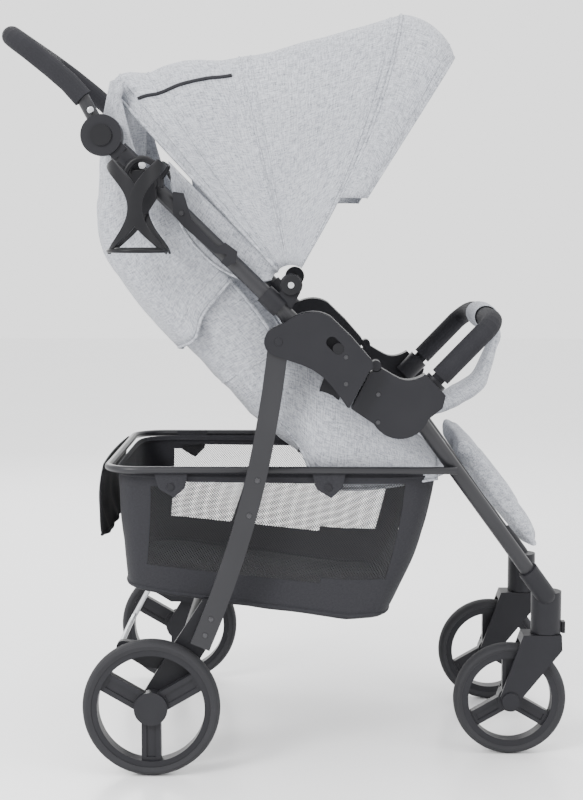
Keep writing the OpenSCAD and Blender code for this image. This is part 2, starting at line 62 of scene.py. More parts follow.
camera = bpy.data.objects.new("camera", bpy.data.cameras.new("camera"))
camera.data.sensor_width = 36
camera.data.lens = 75.86
camera.location = Vector((0.040, -2.4453, 0.727)) + ACROSS
camera.rotation_euler = (math.pi / 2 - 0.1, 0, 0.0124)
camera.data.clip_end = 50
bpy.context.scene.collection.objects.link(camera)
bpy.context.scene.camera = camera

LAMPS = [  # name, place, aims at, size, watts
    ("window_light", (-1.9, -2.3, 2.3), (0, 0, 0.6), 1.0, 105),
    ("front_light", (2.4, -1.7, 1.6), (0.1, 0, 0.6), 1.5, 30),
    ("ceiling_light", (0.2, 0.3, 2.9), (0, 0, 0.4), 2.2, 42),
    ("back_light", (-0.9, 2.4, 1.7), (0, 0, 0.7), 1.5, 34),
]
for name, place, target, size, watts in LAMPS:
    lamp = bpy.data.objects.new(name, bpy.data.lights.new(name, "AREA"))
    lamp.data.energy = watts
    lamp.data.size = size
    lamp.location = place
    lamp.rotation_euler = (
        (Vector(target) - Vector(place)).to_track_quat("-Z", "Y").to_euler()
    )
    bpy.context.scene.collection.objects.link(lamp)

room = bpy.data.worlds.new("room")
room.use_nodes = True
room.node_tree.nodes["Background"].inputs["Color"].default_value = (1, 1, 1, 1)
room.node_tree.nodes["Background"].inputs["Strength"].default_value = 1.9
bpy.context.scene.world = room


# ---- finishes ----


class Wire:
    """A value in a finish, which can be used in sums."""

    def __init__(self, finish, socket):
        self.finish, self.socket = finish, socket

    def sum(self, operation, first, second):
        return self.finish.node(
            "ShaderNodeMath", {"operation": operation}, {0: first, 1: second}
        )

    def __add__(self, other):
        return self.sum("ADD", self, other)

    def __radd__(self, other):
        return self.sum("ADD", other, self)

    def __sub__(self, other):
        return self.sum("SUBTRACT", self, other)

    def __rsub__(self, other):
        return self.sum("SUBTRACT", other, self)

    def __mul__(self, other):
        return self.sum("MULTIPLY", self, other)

    def __rmul__(self, other):
        return self.sum("MULTIPLY", other, self)

    def __gt__(self, other):
        return self.sum("GREATER_THAN", self, other)


class Finish:
    """A material and the nodes that its pattern is made of."""

    def __init__(self, name, coordinates="Object", **fixed):
        self.material = bpy.data.materials.new(name)
        self.material.use_nodes = True
        self.tree = self.material.node_tree
        self.shader = self.tree.nodes["Principled BSDF"]
        self.places = self.node("ShaderNodeTexCoord", output=coordinates)
        for socket, value in fixed.items():
            self.feed(socket.replace("_", " "), value)

    def node(self, kind, settings=None, inputs=None, output=0):
        made = self.tree.nodes.new(kind)
        for key, value in (settings or {}).items():
            setattr(made, key, value)
        for key, value in (inputs or {}).items():
            if isinstance(value, Wire):
                self.tree.links.new(value.socket, made.inputs[key])
            else:
                made.inputs[key].default_value = value
        return Wire(self, made.outputs[output])

    def feed(self, socket, value):
        if isinstance(value, Wire):
            self.tree.links.new(value.socket, self.shader.inputs[socket])
        else:
            self.shader.inputs[socket].default_value = value

    def cloud(self, per_metre, stretch=(1, 1, 1), detail=2, roughness=0.5):
        """Soft random grain, its grains this many to the metre."""
        places = self.node(
            "ShaderNodeMapping", None, {"Vector": self.places, "Scale": stretch}
        )
        return self.node(
            "ShaderNodeTexNoise",
            None,
            {"Vector": places, "Scale": per_metre, "Detail": detail, "Roughness": roughness},
        )

    def between(self, share, low, high):
        """A value spread from low to high by a share of 0 to 1."""
        return self.node(
            "ShaderNodeMapRange",
            None,
            {"Value": share, "To Min": low, "To Max": high},
        )

    def opaque(self, colour):
        """A colour as the nodes want it, with its alpha."""
        return (*colour, 1) if isinstance(colour, tuple) else colour

    def blend(self, share, first, second):
        """A colour between two, by a share of 0 to 1."""
        return self.node(
            "ShaderNodeMix",
            {"data_type": "RGBA"},
            {0: share, 6: self.opaque(first), 7: self.opaque(second)},
            output=2,
        )

    def emboss(self, height, depth_mm, strength):
        """Lets a pattern stand out of the surface."""
        self.feed(
            "Normal",
            self.node(
                "ShaderNodeBump",
                None,
                {"Height": height, "Distance": depth_mm * MM, "Strength": strength},
            ),
        )
        return self


THREADS = (-1.45, 2.8)  # how far the streaks spread past dark and pale


def melange_cloth(name, coordinates):
    """Pale woven cloth, its threads streaked darker along and across."""
    cloth = Finish(
        name, coordinates, Roughness=0.92, Specular_IOR_Level=0.2,
        Sheen_Weight=0.08, Sheen_Roughness=0.5,
    )
    along = cloth.cloud(540, (1, 0.16, 1), 3, 0.7)
    across = cloth.cloud(540, (0.16, 1, 1 if coordinates == "UV" else 0.3), 3, 0.7)
    fleck = cloth.cloud(700, (1, 1, 1), 1)
    patch = cloth.cloud(11, detail=3)
    threads = cloth.between(along * 0.4 + across * 0.4 + fleck * 0.2, *THREADS)
    pale = cloth.blend(patch, (0.40, 0.415, 0.455), (0.52, 0.535, 0.57))
    cloth.feed("Base Color", cloth.blend(threads, (0.10, 0.105, 0.125), pale))
    weave = cloth.cloud(1500, (1, 0.25, 1), 1) + cloth.cloud(1500, (0.25, 1, 0.6), 1)
    return cloth.emboss(weave * 0.6 + patch * 0.8, 0.5, 0.55)


def dark_cloth(name, coordinates):
    """Black woven bag cloth with a faint sheen."""
    cloth = Finish(
        name, coordinates, Roughness=0.85, Specular_IOR_Level=0.2,
        Sheen_Weight=0.05, Sheen_Roughness=0.4,
    )
    weave = cloth.cloud(1300, (1, 0.2, 1), 2) + cloth.cloud(1300, (0.2, 1, 0.5), 2)
    cloth.feed(
        "Base Color",
        cloth.blend(weave * 0.5, (0.006, 0.006, 0.008), (0.035, 0.035, 0.04)),
    )
    return cloth.emboss(weave + cloth.cloud(25) * 2, 0.5, 0.6)


NET_PITCH = 0.0052  # metres from one hole of the net to the next but one
NET_THREAD = 0.20   # how wide its threads are, from 0 to 1


def net_cloth():
    """Black net: threads run both ways on the slant, open between."""
    net = Finish("basket_net", "UV", Roughness=0.7)
    places = net.node(
        "ShaderNodeMapping", None,
        {"Vector": net.places, "Rotation": (0, 0, math.radians(45))},
    )
    split = net.node("ShaderNodeSeparateXYZ", None, {"Vector": places})
    down = net.node("ShaderNodeSeparateXYZ", None, {"Vector": places}, output=1)
    pitch = 2 * math.pi / NET_PITCH
    hole = (
        net.node("ShaderNodeMath", {"operation": "SINE"}, {0: split * pitch})
        * net.node("ShaderNodeMath", {"operation": "SINE"}, {0: down * pitch})
    )
    size = net.node("ShaderNodeMath", {"operation": "ABSOLUTE"}, {0: hole})
    net.feed("Alpha", 1 - (size > NET_THREAD))
    net.feed("Base Color", net.blend(size, (0.012, 0.012, 0.014), (0.03, 0.03, 0.033)))
    return net.emboss(1 - size, 0.4, 0.8)


def grained_plastic(name, dark, light, roughness):
    """Moulded plastic with fine grain, a little worn to a shine in places."""
    plastic = Finish(name, Specular_IOR_Level=0.16)
    fine = plastic.cloud(2600, detail=1)
    broad = plastic.cloud(18, detail=3)
    plastic.feed("Base Color", plastic.blend(broad * 0.6 + fine * 0.4, dark, light))
    plastic.feed("Roughness", plastic.between(broad, roughness - 0.08, roughness + 0.1))
    return plastic.emboss(fine, 0.12, 0.5)


def painted_tube():
    """Satin dark paint over metal, with the faint peel of a sprayed coat."""
    paint = Finish("frame_paint", Specular_IOR_Level=0.3, Coat_Roughness=0.3)
    peel = paint.cloud(420, detail=2)
    broad = paint.cloud(9)
    paint.feed("Base Color", paint.blend(broad, (0.010, 0.010, 0.012), (0.018, 0.018, 0.021)))
    paint.feed("Roughness", paint.between(peel * 0.5 + broad * 0.5, 0.30, 0.46))
    paint.feed("Coat Weight", paint.between(broad, 0.04, 0.12))
    return paint.emboss(peel, 0.06, 0.5)


def brushed_metal(name, dark, light):
    """Bare metal with fine lines from brushing or turning."""
    steel = Finish(name, Metallic=1.0)
    brushed = steel.cloud(1500, (1, 0.05, 1), 3)
    steel.feed("Base Color", steel.blend(brushed, dark, light))
    steel.feed("Roughness", steel.between(brushed, 0.2, 0.42))
    return steel.emboss(brushed, 0.05, 0.4)


def foam_grip():
    """Soft black foam, with small open cells."""
    foam = Finish("foam", Specular_IOR_Level=0.15)
    cells = foam.node(
        "ShaderNodeTexVoronoi", {"feature": "F1"}, {"Vector": foam.places, "Scale": 1100}
    )
    broad = foam.cloud(30, detail=3)
    foam.feed(
        "Base Color",
        foam.blend(broad * 0.6 + cells * 0.4, (0.009, 0.009, 0.011), (0.026, 0.026, 0.03)),
    )
    foam.feed("Roughness", foam.between(broad, 0.72, 0.9))
    return foam.emboss(1 - cells, 0.25, 0.7)


def tyre_rubber():
    """Matt black rubber, a little dusty."""
    rubber = Finish("tyre", Specular_IOR_Level=0.2)
    fine = rubber.cloud(2200, detail=2)
    dust = rubber.cloud(22, detail=4)
    rubber.feed(
        "Base Color",
        rubber.blend(dust * 0.7 + fine * 0.3, (0.012, 0.012, 0.014), (0.034, 0.034, 0.037)),
    )
    rubber.feed("Roughness", rubber.between(dust, 0.6, 0.85))
    return rubber.emboss(fine + dust, 0.15, 0.6)


FINISHES = {
    "frame_paint": painted_tube(),
    "shell_plastic": grained_plastic(
        "shell_plastic", (0.009, 0.009, 0.011), (0.019, 0.019, 0.022), 0.42),
    "trim_plastic": grained_plastic(
        "trim_plastic", (0.006, 0.006, 0.007), (0.014, 0.014, 0.016), 0.36),
    "rim_plastic": grained_plastic(
        "rim_plastic", (0.010, 0.010, 0.012), (0.022, 0.022, 0.025), 0.34),
    "foam": foam_grip(),
    "tyre": tyre_rubber(),
    "steel": brushed_metal("bright_steel", (0.42, 0.43, 0.45), (0.66, 0.67, 0.69)),
    "screw_steel": brushed_metal("screw_steel", (0.03, 0.03, 0.033), (0.10, 0.10, 0.105)),
    "grey_cloth": melange_cloth("grey_cloth", "Object"),
    "black_cloth": dark_cloth("black_cloth", "Object"),
}
SHEET_FINISHES = {
    "grey_cloth": melange_cloth("grey_sheet", "UV"),
    "black_cloth": dark_cloth("black_sheet", "UV"),
}
NET = net_cloth()

floor_finish = Finish("pale_floor", Roughness=0.28, Specular_IOR_Level=0.35)
floor_finish.feed(
    "Base Color",
    floor_finish.blend(floor_finish.cloud(3), (0.90, 0.90, 0.905), (0.93, 0.93, 0.935)),
)
floor_mesh = bmesh.new()
bmesh.ops.create_grid(floor_mesh, x_segments=4, y_segments=4, size=9)
floor_data = bpy.data.meshes.new("floor")
floor_mesh.to_mesh(floor_data)
floor_mesh.free()
floor = bpy.data.objects.new("floor", floor_data)
bpy.context.scene.collection.objects.link(floor)
floor_data.materials.append(floor_finish.material)

for part in frame["record"]["subparts"]:
    looks = "screw_steel" if part["node"].endswith("_screws") else part["material_slot"]
    for place in frame["nodes"][part["node"]].material_slots:
        place.material = FINISHES[looks].material


# ---- ways to make cloth and pads ----


def within(value):
    """The value, kept from 0 to 1."""
    return min(max(value, 0), 1)


def shares(count):
    """So many even steps from 0 to 1."""
    return [k / (count - 1) for k in range(count)]


def squarish(value, power):
    """A cosine or sine bent so that a circle becomes a rounded square."""
    return math.copysign(abs(value) ** power, value)


def smooth_path(points, count):
    """Evenly spaced points along a smooth curve through the given ones."""
    points = [Vector(p) for p in points]
    fine = []
    for i in range(len(points) - 1):
        before, start = points[max(i - 1, 0)], points[i]
        end, after = points[i + 1], points[min(i + 2, len(points) - 1)]
        for step in range(16):
            t = step / 16
            fine.append(
                0.5 * (2 * start + (end - before) * t
                       + (2 * before - 5 * start + 4 * end - after) * t * t
                       + (3 * start - before - 3 * end + after) * t ** 3)
            )
    return evenly(fine + [points[-1]], count)


def evenly(points, count):
    """The same line in equal steps."""
    reach = [0.0]
    for one, other in zip(points, points[1:]):
        reach.append(reach[-1] + (other - one).length)
    spaced, i = [], 0
    for k in range(count):
        goal = reach[-1] * k / (count - 1)
        while i < len(points) - 2 and reach[i + 1] < goal:
            i += 1
        part = (goal - reach[i]) / max(reach[i + 1] - reach[i], 1e-9)
        spaced.append(points[i].lerp(points[i + 1], within(part)))
    return spaced


def new_piece(name, mesh, finish):
    """An object from a mesh that was made round the pushchair's own middle."""
    bmesh.ops.translate(mesh, vec=ACROSS, verts=mesh.verts)
    data = bpy.data.meshes.new(name)
    mesh.to_mesh(data)
    mesh.free()
    data.shade_smooth()
    piece = bpy.data.objects.new(name, data)
    bpy.context.scene.collection.objects.link(piece)
    data.materials.append(finish.material)
    return piece


def thicken(piece, thickness_mm, offset=0.0):
    """Gives a sheet its thickness, equally to both sides or to one."""
    wall = piece.modifiers.new("cloth_thickness", "SOLIDIFY")
    wall.thickness = thickness_mm * MM
    wall.offset = offset
    return piece


def loft(name, ribs, finish, thickness_mm, closed=False, windows=None):
    """Cloth over a row of ribs, each a list of as many points (mm).
    Its UV map is the cloth laid flat, in metres. windows(x, y, z) picks the net.
    Returns the piece, the size it was cut to and its area."""
    columns, rows = len(ribs[0]), len(ribs)
    mesh = bmesh.new()
    flat = mesh.loops.layers.uv.new("flat")
    bmesh.ops.create_grid(mesh, x_segments=columns - 1, y_segments=rows - 1, size=0.5)
    laid = {}
    down = 0.0
    rise = [0.0]
    for one, other in zip(ribs, ribs[1:]):
        down += sum((b - a).length for a, b in zip(one, other)) / columns
        rise.append(down)
    spans = []
    for rib in ribs:
        run = [0.0]
        for a, b in zip(rib, rib[1:]):
            run.append(run[-1] + (b - a).length)
        spans.append(run)
    for vert in mesh.verts:
        i = round((vert.co.x + 0.5) * (columns - 1))
        j = round((vert.co.y + 0.5) * (rows - 1))
        laid[vert] = ((spans[j][i] - spans[j][-1] / 2) * MM, rise[j] * MM)
        vert.co = ribs[j][i] * MM
    for face in mesh.faces:
        for loop in face.loops:
            loop[flat].uv = laid[loop.vert]
        face.smooth = True
    if closed:
        bmesh.ops.remove_doubles(mesh, verts=mesh.verts, dist=0.00005)
    bmesh.ops.recalc_face_normals(mesh, faces=mesh.faces)
    size = (max(s[-1] for s in spans) * MM, down * MM)
    area = sum(face.calc_area() for face in mesh.faces)
    if windows:
        for face in mesh.faces:
            if windows(*(face.calc_center_median() / MM)):
                face.material_index = 1
    piece = new_piece(name, mesh, finish)
    if windows:
        piece.data.materials.append(NET.material)
    thicken(piece, thickness_mm)
    return piece, size, area


def declare(made):
    """Returns a lofted cloth's piece; the flat size it was cut to is worked out, then dropped."""
    piece, (width, length), area = made
    grow = max(1.0, area / (width * length))
    width * grow
    return piece


def tube(name, points, radius_mm, finish, sides=10, closed=False):
    """A round cord, piping or wire through the points (mm)."""
    mesh = bmesh.new()
    ring = bmesh.ops.create_circle(mesh, segments=sides, radius=radius_mm * MM)["verts"]
    along = [Vector(p) * MM for p in points]
    rest = [v.co.copy() for v in ring]
    up = None
    rings = []
    for k, point in enumerate(along):
        ahead = along[(k + 1) % len(along)] if closed or k < len(along) - 1 else point
        behind = along[k - 1] if closed or k else point
        way = (ahead - behind).normalized()
        if up is None:
            up = way.orthogonal().normalized()
        up = (up - way * up.dot(way)).normalized()
        side = way.cross(up)
        if k:
            ring = [mesh.verts.new() for _ in rest]
        for vert, flat_place in zip(ring, rest):
            vert.co = point + up * flat_place.x + side * flat_place.y
        rings.append(ring)
    pairs = list(zip(rings, rings[1:])) + ([(rings[-1], rings[0])] if closed else [])
    for one, other in pairs:
        for i in range(sides):
            k = (i + 1) % sides
            mesh.faces.new((one[i], one[k], other[k], other[i]))
    if not closed:
        for end in (rings[0], rings[-1]):
            mesh.faces.new(end)
    bmesh.ops.recalc_face_normals(mesh, faces=mesh.faces)
    return new_piece(name, mesh, finish)


def block(name, outline, low_y, high_y, finish, round_mm):
    """A moulded plate: a side outline (mm) between two widths, its edges rounded."""
    mesh = bmesh.new()
    face = mesh.faces.new([mesh.verts.new((x * MM, low_y * MM, z * MM)) for x, z in outline])
    pulled = bmesh.ops.extrude_face_region(mesh, geom=[face])["geom"]
    bmesh.ops.translate(
        mesh, vec=(0, (high_y - low_y) * MM, 0),
        verts=[g for g in pulled if isinstance(g, bmesh.types.BMVert)],
    )
    bmesh.ops.recalc_face_normals(mesh, faces=mesh.faces)
    rims = [e for e in mesh.edges if abs(e.verts[0].co.y - e.verts[1].co.y) < 1e-6]
    bmesh.ops.bevel(
        mesh, geom=rims, offset=round_mm * MM, segments=3, profile=0.5,
        affect="EDGES", material=-1, clamp_overlap=True,
    )
    piece = new_piece(name, mesh, finish)
    piece.modifiers.new("edges", "WEIGHTED_NORMAL")
    return piece


def disc(name, place, radius_mm, thick_mm, finish, round_mm):
    """A round button, screw head or cap, facing sideways."""
    mesh = bmesh.new()
    bmesh.ops.create_cone(
        mesh, cap_ends=True, segments=36, radius1=radius_mm * MM,
        radius2=radius_mm * MM, depth=thick_mm * MM,
    )
    bmesh.ops.bevel(
        mesh, geom=[edge for edge in mesh.edges if edge.calc_face_angle() > 1],
        offset=round_mm * MM, segments=3, profile=0.5, affect="EDGES", material=-1,
    )
    for vert in mesh.verts:
        vert.co = Vector((vert.co.x, vert.co.z, -vert.co.y)) + Vector(place) * MM
    bmesh.ops.recalc_face_normals(mesh, faces=mesh.faces)
    return new_piece(name, mesh, finish)


def show_as(piece, body, slot, *nodes):
    """Puts a piece on its body and hides the nodes it stands for."""
    if nodes:
        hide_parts(*nodes)
    if body:
        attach(piece, body)
    return piece


STUFFING_STEPS = 20


def plump(piece, cap_mm, voxel_mm, groove):
    """Fills a pad as stuffing would, then presses its seams in.
    No point swells further than cap_mm. groove gives each seam's depth."""
    scene = bpy.context.scene
    remesh = piece.modifiers.new("even_cloth", "REMESH")
    remesh.mode = "VOXEL"
    remesh.voxel_size = voxel_mm * MM
    remesh.use_smooth_shade = True
    settle(piece)
    start = [v.co.copy() for v in piece.data.vertices]
    cloth = piece.modifiers.new("stuffing", "CLOTH")
    cloth.settings.use_pressure = True
    cloth.settings.uniform_pressure_force = 4
    cloth.settings.effector_weights.gravity = 0
    cloth.point_cache.frame_end = STUFFING_STEPS
    for when in range(1, STUFFING_STEPS + 1):
        scene.frame_set(when)
    settle(piece)
    scene.frame_set(1)
    for vert, first in zip(piece.data.vertices, start):
        grown = vert.co - first
        if grown.length > cap_mm * MM:
            vert.co = first + grown.normalized() * cap_mm * MM
    finer = piece.modifiers.new("finer", "SUBSURF")
    finer.levels = finer.render_levels = 1
    settle(piece)
    shaped = bmesh.new()
    shaped.from_mesh(piece.data)
    shaped.normal_update()
    for vert in shaped.verts:
        vert.co -= vert.normal * groove(*((vert.co - ACROSS) / MM), vert.normal) * MM
    for _ in range(2):
        bmesh.ops.smooth_vert(
            shaped, verts=shaped.verts, factor=0.25,
            use_axis_x=True, use_axis_y=True, use_axis_z=True,
        )
    shaped.to_mesh(piece.data)
    shaped.free()
    piece.data.shade_smooth()


def settle(piece):
    """Makes a piece's modifiers final."""
    bpy.context.view_layer.update()
    seen = piece.evaluated_get(bpy.context.evaluated_depsgraph_get())
    old = piece.data
    piece.data = bpy.data.meshes.new_from_object(seen)
    piece.modifiers.clear()
    bpy.data.meshes.remove(old)


def wave(x, y, z, size_mm, seed=0):
    """Soft random swell, -1 to 1, with waves of this size."""
    return noise.noise(Vector((x, y, z)) / size_mm + Vector((seed * 7.3, 0, 0)))


def dip(distance_mm, width_mm, depth_mm):
    """Depth of a sewn groove at a distance from its line."""
    return depth_mm * math.exp(-((distance_mm / width_mm) ** 2))


GREY, BLACK = SHEET_FINISHES["grey_cloth"], SHEET_FINISHES["black_cloth"]
GREY_PAD, BLACK_PAD = FINISHES["grey_cloth"], FINISHES["black_cloth"]
TRIM, STEEL, SHELL = FINISHES["trim_plastic"], FINISHES["steel"], FINISHES["shell_plastic"]

# ---- canopy: one curved cloth over the bows, and the visor ahead of them ----

HUB = Vector((12, 0, 656))  # the canopy's pivot
CROWN = [(-235, 0, 922), (-230, 0, 938), (-212, 0, 944), (-187, 0, 945), (-156, 0, 955),
         (-114, 0, 960), (-71, 0, 962), (26, 0, 987), (100, 0, 1006), (140, 0, 1015),
         (160, 0, 1021)]
FOOT = 26  # a rib's lower ends stop this far from the hub
HOOD_CORNER, VISOR_CORNER = 0.42, 0.36
CANOPY_TURN = (
    ("upper_frame", "canopy"), dict(start=(-0.037, 0, 1.099), end=(0.161, 0, 1.016)))


def turning(piece, bodies, places):
    """Bakes the piece's place into its mesh."""
    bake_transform(piece)


def seam(name, line, radius_mm, body=None):
    """Grey piping, a hem or a row of stitches. Without a body it is left unattached."""
    return show_as(tube(name, line, radius_mm, GREY_PAD, 8), body, "grey_cloth")


def hood_rib(top, half_width, lead=0.0):
    """One rib of the hood: up a side, over the crown and down again.
    lead turns its lower end forward, in radians."""
    reach = (top - HUB).length
    angle = math.atan2(top.z - HUB.z, top.x - HUB.x)
    fine = []
    for step in range(181):
        turn = math.pi * step / 180
        over = max(math.sin(turn), 0) ** HOOD_CORNER
        along = FOOT + (reach - FOOT) * over
        lean = angle - lead * (1 - (along / reach) ** 1.5)
        fine.append(Vector((
            HUB.x + along * math.cos(lean),
            -half_width * squarish(math.cos(turn), HOOD_CORNER),
            HUB.z + along * math.sin(lean),
        )))
    return evenly(fine, 72)


hood_ribs = []
for share, top in zip(shares(56), smooth_path(CROWN, 56)):
    slack = 5 * math.sin(math.pi * within((share - 0.45) / 0.5))
    away = (top - HUB).normalized()
    rib = hood_rib(top, 208 + 14 * share ** 1.5, 0.16 * share ** 4)
    for i, point in enumerate(rib):
        edge = min(i, len(rib) - 1 - i) / len(rib)
        fold = wave(point.x, point.y * 0.6, point.z, 62) * 4.5
        fold += wave(point.x, point.y, point.z, 27, 1) * 1.8
        pull = wave(point.x * 1.8, 0, point.z * 1.8, 30, 2) * 2.2 * (1 - share)
        swell = (fold + pull - slack) * min(edge * 9, 1) * min(share * 12 + 0.2, 1)
        out = Vector((away.x, 0, away.z))
        if abs(point.y) >= 150:
            out = Vector((0, math.copysign(1, point.y), 0))
        point += out * swell * 0.8
    hood_ribs.append(rib)
hood = declare(loft("canopy_cloth", hood_ribs, GREY, 2.2))
show_as(hood, None, "grey_cloth", "canopy_hood", "canopy_rear")
turning(hood, *CANOPY_TURN)

seam_rib = evenly(hood_ribs[-1][7:-7], 64)
VISOR_LOW, VISOR_TIP = Vector((110, 0, 770)), Vector((231, 0, 962))
visor_front = []
for step in range(181):
    turn = math.pi * step / 180
    line = VISOR_LOW.lerp(VISOR_TIP, max(math.sin(turn), 0) ** VISOR_CORNER)
    side = squarish(math.cos(turn), VISOR_CORNER)
    visor_front.append(Vector((line.x, -219 * side, line.z)))
visor_front = evenly(visor_front, 64)
visor_ribs = []
for share in shares(13):
    rib = []
    for one, other in zip(seam_rib, visor_front):
        middle = one.lerp(other, share)
        away = Vector((0.62, 0, 0.78))
        if abs(middle.y) >= 185:
            away = Vector((0, math.copysign(0.35, middle.y), 0))
        swell = 15 * math.sin(math.pi * share) ** 0.8
        ripple = wave(middle.x, middle.y, middle.z, 40, 4) * 1.6
        rib.append(middle + away * (swell + ripple))
    visor_ribs.append(rib)
visor = declare(loft("canopy_visor_cloth", visor_ribs, GREY, 3.4))
show_as(visor, "canopy", "grey_cloth", "canopy_visor")

bow_line = [
    point.lerp(Vector((HUB.x, point.y, HUB.z)), 0.012)
    for point in hood_rib(Vector((157, 0, 1009)), 211)
]
bow = tube("canopy_bow_rod", bow_line, 3, FINISHES["frame_paint"], 12)
show_as(bow, "canopy", "frame_paint", "canopy_bow")
for side, word in SIDES:
    cap = disc(f"canopy_hub_cap_{word}", (HUB.x, side * 227, HUB.z), 14, 6, TRIM, 1.6)
    show_as(cap, "canopy", "trim_plastic")
    screw = disc(f"canopy_hub_screw_{word}", (HUB.x, side * 230.5, HUB.z), 4.2, 1.6, STEEL, 0.5)
    show_as(screw, "canopy", "steel")


def on_cloth(rib, lift_mm):
    """The same line, lifted off the cloth on its outer side."""
    lifted = []
    for point in rib:
        away = Vector((point.x - HUB.x, 0, point.z - HUB.z)).normalized()
        side = within((abs(point.y) - 150) / 50)
        sideways = Vector((0, math.copysign(1, point.y), 0))
        lifted.append(point + (away * (1 - side) + sideways * side) * lift_mm)
    return lifted


HOOD_SEAMS = [  # name, the rib it lies on, radius
    ("canopy_rear_hem", 0, 2.6), ("canopy_rear_seam", 3, 1.3), ("canopy_rear_seam_2", 8, 1.3),
    ("canopy_mid_seam", 25, 1.5), ("canopy_mid_seam_2", 27, 1.2), ("canopy_front_seam", 53, 1.3),
]
for name, k, radius in HOOD_SEAMS:
    turning(seam(name, on_cloth(hood_ribs[k], 1.2), radius), *CANOPY_TURN)
seam("visor_seam", on_cloth(seam_rib, 1.5), 2.0, "canopy")
seam("visor_hem", on_cloth(visor_ribs[-1], 0.5), 2.4, "canopy")
seam("visor_stitch", on_cloth(visor_ribs[-3], 2.0), 0.9, "canopy")

# air slits at the shoulders of the crown, with a dark lining
for side, word in SIDES:
    line = []
    for rib in hood_ribs[3:24]:
        spot = rib[21 if side < 0 else len(rib) - 22]
        line.append(spot + (spot - HUB).normalized() * 2.0)
    slit = tube(f"canopy_air_slit_{word}", line, 2.6, BLACK_PAD, 8)
    turning(show_as(slit, None, "black_cloth"), *CANOPY_TURN)

# flaps of cloth below the push tubes, joined to the hood's hem
for side, word in SIDES:
    upper = smooth_path([(-150, side * 204, 818), (-90, side * 205, 758), (-6, side * 205, 676)], 24)
    lower = smooth_path([(-146, side * 204, 790), (-140, side * 206, 752), (-122, side * 206, 716),
                         (-86, side * 206, 680), (-42, side * 206, 660), (-14, side * 205, 664)], 24)
    ribs = []
    for share in shares(9):
        rib = []
        for one, other in zip(upper, lower):
            belly = 3 * math.sin(math.pi * share) + wave(one.x, 0, share * 60, 24, 5) * 1.6
            rib.append(one.lerp(other, share) - Vector((0, side * belly, 0)))
        ribs.append(rib)
    flap = declare(loft(f"canopy_side_flap_{word}", ribs, GREY, 2))
    show_as(flap, "upper_frame", "grey_cloth")
    hem = [point + Vector((0, side, 0)) for point in ribs[-1]]
    seam(f"canopy_flap_hem_{word}", hem, 2.0, "upper_frame")

# ---- back curtain: a second skin from the hood, round the seat back ----

CURTAIN_TURN = (
    ("upper_frame", "backrest"), dict(start=(-0.241, 0, 0.900), end=(-0.161, 0, 0.640)))


def both_sides(half, count):
    """A rib from its right half, which ends on the middle plane."""
    return smooth_path(half + [(x, -y, z) for x, y, z in reversed(half[:-1])], count)


curtain_rear = smooth_path([(-234, 0, 926), (-243, 0, 880), (-246, 0, 830), (-248, 0, 790), (-252, 0, 744),
                            (-240, 0, 696), (-204, 0, 644), (-160, 0, 592), (-142, 0, 572)], 30)
curtain_fore = smooth_path([(-212, 0, 898), (-200, 0, 850), (-186, 0, 812), (-160, 0, 776), (-128, 0, 738),
                            (-96, 0, 694), (-68, 0, 662)], 30)
curtain_ribs = []
for share, rear, fore in zip(shares(30), curtain_rear, curtain_fore):
    middle = rear.lerp(fore, 0.5)
    wide = 195 + 7 * share ** 2
    rib = both_sides([
        (fore.x, -wide + 2, fore.z), (middle.x, -wide, middle.z),
        (rear.x + 26, -wide + 3, rear.z + 12 * share), (rear.x + 5, -166, rear.z),
        (rear.x - 4, -84, rear.z - 8 * share), (rear.x - 8, 0, rear.z - 12 * share),
    ], 90)
    for point in rib:
        fold = wave(point.x, point.y, point.z * 0.7, 52, 6) * 7
        fold += wave(point.x, point.y, point.z, 22, 16) * 2
        if abs(point.y) > 178:
            point.y += math.copysign(fold * 0.35, point.y)
        else:
            point.x -= fold * min(share * 4, 1)
    curtain_ribs.append(rib)
curtain = declare(loft("back_curtain", curtain_ribs, GREY, 2))
turning(show_as(curtain, None, "grey_cloth"), *CURTAIN_TURN)
for name, k, radius in (("back_curtain_hem", -1, 2.2), ("back_curtain_stitch", -3, 0.9)):
    line = [p + Vector((0, math.copysign(0.8, p.y), 0)) for p in curtain_ribs[k]]
    turning(seam(name, line, radius), *CURTAIN_TURN)

# ---- seat back: cover behind the board, pad before it ----

PIVOT = Vector((28, 0, 440))  # the recline hinge
LEAN = math.radians(132)
UP = Vector((math.cos(LEAN), 0, math.sin(LEAN)))    # up along the seat back
OUT = Vector((math.sin(LEAN), 0, -math.cos(LEAN)))  # out of its front

back_line = smooth_path([(44, 0, 408), (-14, 0, 462), (-66, 0, 516), (-112, 0, 568), (-154, 0, 614),
                         (-196, 0, 668), (-232, 0, 724), (-240, 0, 764)], 34)
front_line = smooth_path([(70, 0, 408), (44, 0, 480), (6, 0, 556), (-34, 0, 618), (-84, 0, 676),
                          (-132, 0, 730), (-182, 0, 780), (-206, 0, 800)], 34)
shell_ribs = []
for share, rear, fore in zip(shares(34), back_line, front_line):
    middle = rear.lerp(fore, 0.5)
    rib = both_sides([
        (fore.x, -187, fore.z), (middle.x, -191, middle.z), (rear.x + 22, -186, rear.z + 14),
        (rear.x + 3, -160, rear.z + 2), (rear.x - 5, -80, rear.z - 4), (rear.x - 8, 0, rear.z - 6),
    ], 84)
    for point in rib:
        crease = wave(point.x * 1.6, point.y, point.z * 0.8, 55, 7) * 6
        crease += wave(point.x, point.y, point.z, 24, 8) * 1.8
        if abs(point.y) > 175:
            point.y += math.copysign(crease * 0.45 - 1, point.y)
        else:
            point -= OUT * (crease + 8 * math.sin(math.pi * share))
    shell_ribs.append(rib)
shell = declare(loft("seat_back_cover", shell_ribs, GREY, 2.4))
show_as(shell, "backrest", "grey_cloth", "backrest_board")
